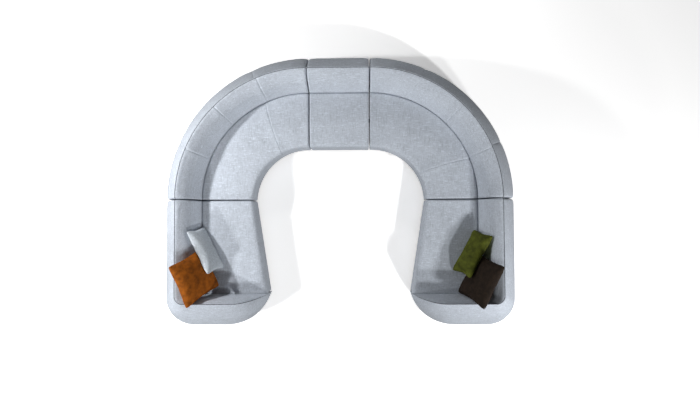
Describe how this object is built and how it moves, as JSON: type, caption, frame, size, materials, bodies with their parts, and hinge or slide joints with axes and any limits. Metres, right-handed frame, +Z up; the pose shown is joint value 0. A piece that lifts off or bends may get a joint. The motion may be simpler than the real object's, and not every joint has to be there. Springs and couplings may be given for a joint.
{
  "type": "u-shaped sectional sofa",
  "caption": "Low U-shaped sectional sofa of upholstered modules with rounded corners, a sloping wrap-round back and arms, and loose throw pillows.",
  "frame": {"origin": "on the floor under the middle of the sofa's plan", "axes": "+X to the right, +Y towards the closed back of the U, +Z up; the open side of the U faces -Y"},
  "size_m": [3.86, 2.982, 0.929],
  "materials": {
    "blue_grey_fabric": "matte",
    "pale_grey_fabric": "matte",
    "orange_velvet": "matte",
    "brown_velvet": "matte",
    "olive_velvet": "matte",
    "elastic_webbing": "matte",
    "timber": "matte",
    "black_wood": "satin",
    "link_steel": "satin"
  },
  "bodies": {
    "centre": {"centre_base_frame": "timber", "centre_webbing": "elastic_webbing", "centre_seat_skirt": "blue_grey_fabric", "centre_seat_cushion": "blue_grey_fabric", "centre_back_frame": "timber", "centre_back_shell": "blue_grey_fabric", "centre_back_pad": "blue_grey_fabric", "centre_near_runner": "black_wood", "centre_far_runner": "black_wood", "centre_right_link_jaw": "link_steel", "centre_left_link_jaw": "link_steel"},
    "left_curve": {"left_curve_base_frame": "timber", "left_curve_webbing": "elastic_webbing", "left_curve_seat_skirt": "blue_grey_fabric", "left_curve_seat_cushion": "blue_grey_fabric", "left_curve_back_frame": "timber", "left_curve_back_shell": "blue_grey_fabric", "left_curve_back_pad": "blue_grey_fabric", "left_curve_near_runner": "black_wood", "left_curve_far_runner": "black_wood", "left_curve_middle_runner": "black_wood", "left_curve_link_tongue": "link_steel", "left_curve_link_jaw": "link_steel"},
    "left_arm": {"left_arm_base_frame": "timber", "left_arm_webbing": "elastic_webbing", "left_arm_seat_skirt": "blue_grey_fabric", "left_arm_seat_cushion": "blue_grey_fabric", "left_arm_back_frame": "timber", "left_arm_back_shell": "blue_grey_fabric", "left_arm_back_pad": "blue_grey_fabric", "left_arm_near_runner": "black_wood", "left_arm_far_runner": "black_wood", "left_arm_link_tongue": "link_steel"},
    "right_curve": {"right_curve_base_frame": "timber", "right_curve_webbing": "elastic_webbing", "right_curve_seat_skirt": "blue_grey_fabric", "right_curve_seat_cushion": "blue_grey_fabric", "right_curve_back_frame": "timber", "right_curve_back_shell": "blue_grey_fabric", "right_curve_back_pad": "blue_grey_fabric", "right_curve_near_runner": "black_wood", "right_curve_far_runner": "black_wood", "right_curve_middle_runner": "black_wood", "right_curve_link_tongue": "link_steel", "right_curve_link_jaw": "link_steel"},
    "right_arm": {"right_arm_base_frame": "timber", "right_arm_webbing": "elastic_webbing", "right_arm_seat_skirt": "blue_grey_fabric", "right_arm_seat_cushion": "blue_grey_fabric", "right_arm_back_frame": "timber", "right_arm_back_shell": "blue_grey_fabric", "right_arm_back_pad": "blue_grey_fabric", "right_arm_near_runner": "black_wood", "right_arm_far_runner": "black_wood", "right_arm_link_tongue": "link_steel"},
    "left_square_pillow": {"left_square_pillow": "orange_velvet"},
    "left_lumbar_pillow": {"left_lumbar_pillow": "pale_grey_fabric"},
    "right_square_pillow": {"right_square_pillow": "brown_velvet"},
    "right_lumbar_pillow": {"right_lumbar_pillow": "olive_velvet"}
  },
  "joints": [
    {"name": "left_curve_slide", "type": "slide", "parent": "centre", "child": "left_curve", "axis": [-1, 0, 0], "range_m": [0, 0.3]},
    {"name": "left_arm_slide", "type": "slide", "parent": "left_curve", "child": "left_arm", "axis": [0, -1, 0], "range_m": [0, 0.3]},
    {"name": "left_square_pillow_lift", "type": "slide", "parent": "left_arm", "child": "left_square_pillow", "axis": [0, 0, 1], "range_m": [0, 0.4]},
    {"name": "left_lumbar_pillow_lift", "type": "slide", "parent": "left_square_pillow", "child": "left_lumbar_pillow", "axis": [0.48, 0.2, 0.8542], "range_m": [0, 0.4]},
    {"name": "right_curve_slide", "type": "slide", "parent": "centre", "child": "right_curve", "axis": [1, 0, 0], "range_m": [0, 0.3]},
    {"name": "right_arm_slide", "type": "slide", "parent": "right_curve", "child": "right_arm", "axis": [0, -1, 0], "range_m": [0, 0.3]},
    {"name": "right_square_pillow_lift", "type": "slide", "parent": "right_arm", "child": "right_square_pillow", "axis": [0, 0, 1], "range_m": [0, 0.4]},
    {"name": "right_lumbar_pillow_lift", "type": "slide", "parent": "right_square_pillow", "child": "right_lumbar_pillow", "axis": [-0.48, 0.2, 0.8542], "range_m": [0, 0.4]}
  ]
}
